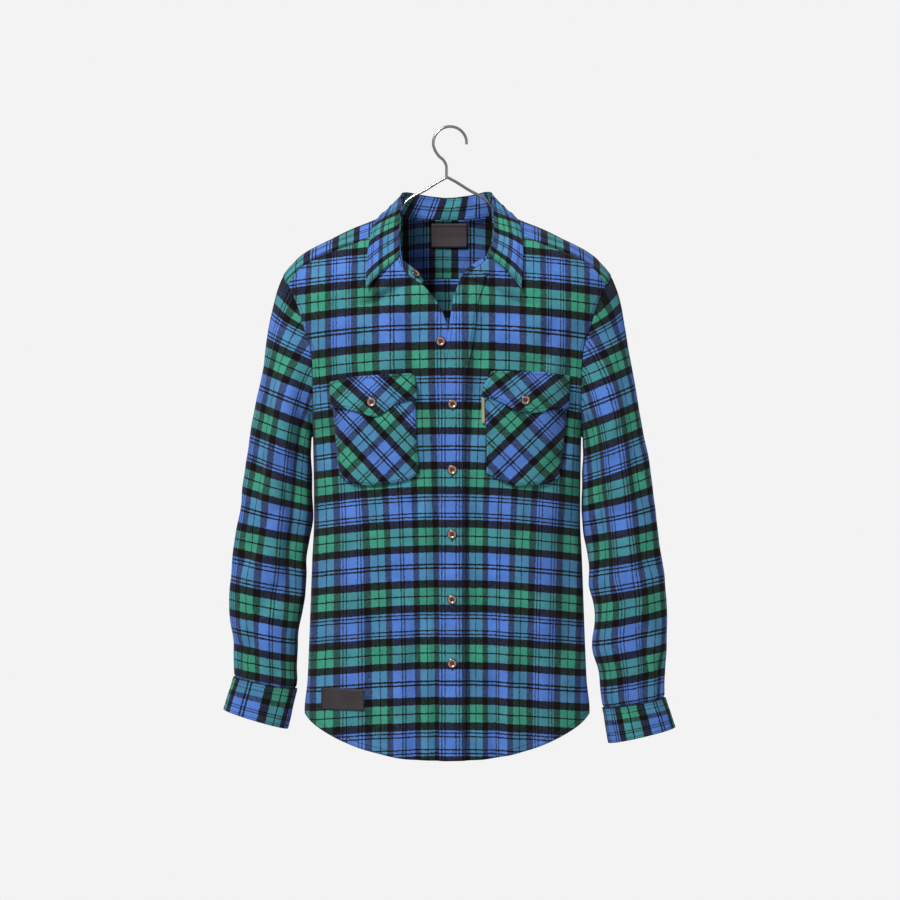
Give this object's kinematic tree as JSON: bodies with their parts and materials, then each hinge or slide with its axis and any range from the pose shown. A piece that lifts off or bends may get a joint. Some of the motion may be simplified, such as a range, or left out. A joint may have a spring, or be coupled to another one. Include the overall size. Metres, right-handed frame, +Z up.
{
  "type": "flannel shirt on a wire hanger",
  "caption": "Long-sleeved button-front flannel shirt with flap pockets and a turned-down collar, hanging open at the neck on a wire hanger.",
  "frame": {"origin": "inside top of the hanger's hook, where it hangs on a rail", "axes": "+X to the viewer's right across the shoulders, +Y from the front of the shirt to its back, +Z up along the hang"},
  "size_m": [0.6208, 0.1669, 0.876],
  "materials": {
    "flannel": "brushed cotton twill, blue, green and near-black tartan",
    "label": "plain woven black tape",
    "tab": "plain woven cream tape",
    "button": "brown mottled horn look, polished",
    "wire": "bright chrome plate"
  },
  "bodies": {
    "root": {"front_left": "flannel", "front_right": "flannel", "back": "flannel", "yoke": "flannel", "sleeve_left": "flannel", "sleeve_right": "flannel", "cuff_left": "flannel", "cuff_right": "flannel", "buttonhole_band": "flannel", "pocket_left": "flannel", "flap_left": "flannel", "pocket_right": "flannel", "flap_right": "flannel", "collar_stand": "flannel", "collar_leaf": "flannel", "sleeve_placket_left": "flannel", "sleeve_placket_right": "flannel", "neck_label": "label", "hem_patch": "label", "pocket_tab": "tab", "front_button_1": "button", "front_button_2": "button", "front_button_3": "button", "front_button_4": "button", "front_button_5": "button", "front_button_6": "button", "flap_button_left": "button", "flap_button_right": "button", "collar_button": "button", "cuff_button_left": "button", "cuff_button_right": "button", "hanger": "wire"}
  },
  "joints": []
}
